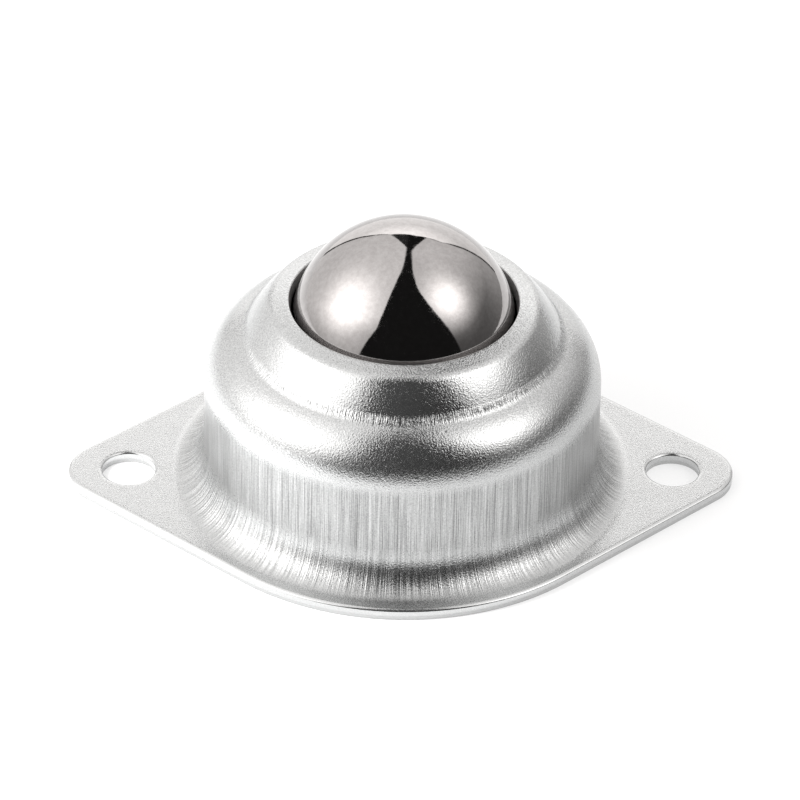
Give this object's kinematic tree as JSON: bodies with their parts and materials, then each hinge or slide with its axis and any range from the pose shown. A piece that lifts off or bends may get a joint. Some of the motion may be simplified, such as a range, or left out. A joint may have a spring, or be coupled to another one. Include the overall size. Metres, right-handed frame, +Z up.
{
  "type": "ball transfer unit",
  "caption": "Flange-mounted ball transfer unit: a load ball turns freely on a bed of support balls in a drawn sheet-metal shell with a diamond screw flange.",
  "frame": {"origin": "on the load ball's vertical axis, in the plane of the flange's underside", "axes": "+X along the flange through both screw holes, +Y across the flange, +Z up along the ball's axis, away from the surface that the unit is screwed to"},
  "size_m": [0.066, 0.047, 0.0292],
  "materials": {
    "zinc_plated_sheet": "bright zinc-plated drawn steel sheet, fine grained, with draw lines",
    "hardened_cup": "hardened pressed steel, dull grey",
    "polished_load_ball": "mirror-polished bearing steel",
    "support_ball_steel": "polished bearing steel"
  },
  "bodies": {
    "housing": {"housing_shell": "zinc_plated_sheet", "race_cup": "hardened_cup"},
    "support_balls": {"support_ball_01": "support_ball_steel", "support_ball_02": "support_ball_steel", "support_ball_03": "support_ball_steel", "support_ball_04": "support_ball_steel", "support_ball_05": "support_ball_steel", "support_ball_06": "support_ball_steel", "support_ball_07": "support_ball_steel", "support_ball_08": "support_ball_steel", "support_ball_09": "support_ball_steel", "support_ball_10": "support_ball_steel", "support_ball_11": "support_ball_steel", "support_ball_12": "support_ball_steel", "support_ball_13": "support_ball_steel", "support_ball_14": "support_ball_steel", "support_ball_15": "support_ball_steel", "support_ball_16": "support_ball_steel", "support_ball_17": "support_ball_steel", "support_ball_18": "support_ball_steel", "support_ball_19": "support_ball_steel", "support_ball_20": "support_ball_steel", "support_ball_21": "support_ball_steel", "support_ball_22": "support_ball_steel", "support_ball_23": "support_ball_steel", "support_ball_24": "support_ball_steel", "support_ball_25": "support_ball_steel", "support_ball_26": "support_ball_steel", "support_ball_27": "support_ball_steel", "support_ball_28": "support_ball_steel", "support_ball_29": "support_ball_steel", "support_ball_30": "support_ball_steel", "support_ball_31": "support_ball_steel", "support_ball_32": "support_ball_steel", "support_ball_33": "support_ball_steel"},
    "load_ball": {"load_ball": "polished_load_ball"}
  },
  "joints": [
    {"name": "support_balls_orbit", "type": "hinge", "parent": "housing", "child": "support_balls", "pos_m": [0, 0, 0.01813], "axis": [0, 0, 1], "continuous": true},
    {"name": "load_ball_roll", "type": "hinge", "parent": "support_balls", "child": "load_ball", "pos_m": [0, 0, 0.01813], "axis": [0, 1, 0], "continuous": true}
  ]
}
